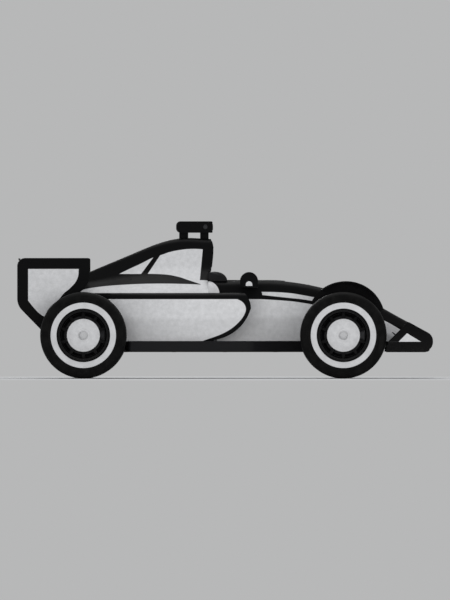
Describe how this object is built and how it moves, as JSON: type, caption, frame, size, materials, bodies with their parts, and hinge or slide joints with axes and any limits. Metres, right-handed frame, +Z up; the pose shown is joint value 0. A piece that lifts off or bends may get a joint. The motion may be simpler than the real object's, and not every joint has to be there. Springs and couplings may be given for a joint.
{
  "type": "open-wheel single-seater racing car",
  "caption": "Open-wheel racing car with slick tyres, front and rear wings, an open cockpit, sidepods and a tall airbox with a camera pod; wheels roll and the front pair steers.",
  "frame": {"origin": "on the ground under the middle of the car's length and width", "axes": "+X towards the nose, +Y towards the driver's left, +Z up"},
  "size_m": [3.264, 1.6, 1.237],
  "materials": {
    "body_paint": "satin pale grey paint with broad black bands",
    "carbon": "black woven carbon composite under clear lacquer",
    "tyre_rubber": "matt slick racing tyre with a pale sidewall band",
    "wheel_paint": "black painted magnesium wheel with a pale centre",
    "cast_metal": "cast and machined light alloy",
    "dark_steel": "dark oiled steel",
    "radiator_core": "black finned core",
    "exhaust_steel": "heat-tinted stainless tube",
    "red_lens": "red moulded lens",
    "pad_cover": "black foam pad under a coated cloth"
  },
  "bodies": {
    "chassis": {"monocoque": "body_paint", "nose_cone": "body_paint", "engine_cover": "body_paint", "sidepod_left": "body_paint", "sidepod_right": "body_paint", "floor_tray": "carbon", "diffuser": "carbon", "engine_block": "cast_metal", "gearbox_case": "cast_metal", "headrest_pad": "pad_cover", "seat_shell": "carbon", "dash_bulkhead": "carbon", "rack_housing": "cast_metal", "mirrors": "body_paint", "camera_pod": "body_paint", "radiators": "radiator_core", "exhaust_pipe": "exhaust_steel", "rain_light": "red_lens", "rear_endplates": "body_paint", "rear_wing_planes": "carbon", "wing_pylons": "carbon", "front_endplates": "body_paint", "front_wing_planes": "carbon", "front_wishbones": "carbon", "rear_wishbones": "carbon", "rear_uprights": "cast_metal"},
    "front_left_knuckle": {"front_left_upright": "cast_metal", "front_left_deflector": "carbon"},
    "front_right_knuckle": {"front_right_upright": "cast_metal", "front_right_deflector": "carbon"},
    "steering_rack": {"steering_rack": "dark_steel"},
    "steering_wheel": {"steering_wheel": "carbon", "steering_column": "dark_steel"},
    "front_left_wheel": {"front_left_tyre": "tyre_rubber", "front_left_rim": "wheel_paint", "front_left_hub": "dark_steel"},
    "front_right_wheel": {"front_right_tyre": "tyre_rubber", "front_right_rim": "wheel_paint", "front_right_hub": "dark_steel"},
    "rear_left_wheel": {"rear_left_tyre": "tyre_rubber", "rear_left_rim": "wheel_paint", "rear_left_hub": "dark_steel"},
    "rear_right_wheel": {"rear_right_tyre": "tyre_rubber", "rear_right_rim": "wheel_paint", "rear_right_hub": "dark_steel"}
  },
  "joints": [
    {"name": "front_left_steer", "type": "hinge", "parent": "chassis", "child": "front_left_knuckle", "pos_m": [0.93, 0.585, 0.34], "axis": [0, 0, 1], "range_deg": [-15, 15]},
    {"name": "front_right_steer", "type": "hinge", "parent": "chassis", "child": "front_right_knuckle", "pos_m": [0.93, -0.585, 0.34], "axis": [0, 0, 1], "range_deg": [-15, 15]},
    {"name": "steering_rack_slide", "type": "slide", "parent": "chassis", "child": "steering_rack", "axis": [0, 1, 0], "range_m": [-0.0285, 0.0285]},
    {"name": "steering_wheel_turn", "type": "hinge", "parent": "chassis", "child": "steering_wheel", "pos_m": [0.392, 0, 0.655], "axis": [-0.9511, 0, 0.309], "range_deg": [-120, 120]},
    {"name": "front_left_spin", "type": "hinge", "parent": "front_left_knuckle", "child": "front_left_wheel", "pos_m": [0.93, 0.7, 0.34], "axis": [0, 1, 0], "continuous": true},
    {"name": "front_right_spin", "type": "hinge", "parent": "front_right_knuckle", "child": "front_right_wheel", "pos_m": [0.93, -0.7, 0.34], "axis": [0, 1, 0], "continuous": true},
    {"name": "rear_left_spin", "type": "hinge", "parent": "chassis", "child": "rear_left_wheel", "pos_m": [-1.11, 0.7, 0.34], "axis": [0, 1, 0], "continuous": true},
    {"name": "rear_right_spin", "type": "hinge", "parent": "chassis", "child": "rear_right_wheel", "pos_m": [-1.11, -0.7, 0.34], "axis": [0, 1, 0], "continuous": true}
  ],
  "couplings": [
    {"joint": "front_right_steer", "follows": "front_left_steer", "ratio": 1},
    {"joint": "steering_rack_slide", "follows": "front_left_steer", "m_per_rad": -0.10875},
    {"joint": "steering_wheel_turn", "follows": "front_left_steer", "ratio": 8}
  ]
}
